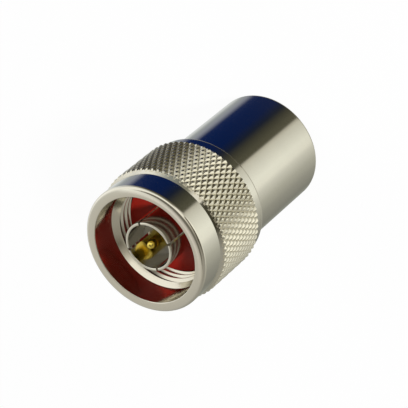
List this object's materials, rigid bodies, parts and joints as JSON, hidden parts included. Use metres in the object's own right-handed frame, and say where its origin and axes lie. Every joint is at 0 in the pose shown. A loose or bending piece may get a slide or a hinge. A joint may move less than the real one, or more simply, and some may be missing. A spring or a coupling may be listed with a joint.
{
  "type": "n plug coaxial termination",
  "caption": "Coaxial line termination: a knurled coupling nut turns on a plain round barrel, around a slotted outer contact, a gold centre pin and a red gasket.",
  "frame": {"origin": "centre of the barrel's flat end, which the part stands on", "axes": "+Z along the axis, from the barrel's closed end towards the plug's mouth"},
  "size_m": [0.021, 0.021, 0.035],
  "materials": {
    "nickel": "bright nickel plate on turned brass",
    "bronze": "bare spring bronze and brass",
    "red_silicone": "smooth moulded red silicone",
    "gold": "polished gold plate",
    "insulator": "turned white fluoropolymer",
    "ceramic": "film-coated ceramic rod",
    "tin": "tinned cap"
  },
  "bodies": {
    "plug": {"barrel": "nickel", "neck": "nickel", "retaining_ring": "bronze", "outer_contact": "nickel", "gasket": "red_silicone", "centre_pin": "gold", "bead": "insulator", "resistor_rod": "ceramic", "front_cap": "tin", "rear_cap": "tin", "taper_sleeve": "bronze", "ground_plug": "bronze"},
    "nut": {"coupling_nut": "nickel"}
  },
  "joints": [
    {"name": "nut_turn", "type": "hinge", "parent": "plug", "child": "nut", "pos_m": [0, 0, 0.0222], "axis": [0, 0, 1], "continuous": true}
  ]
}
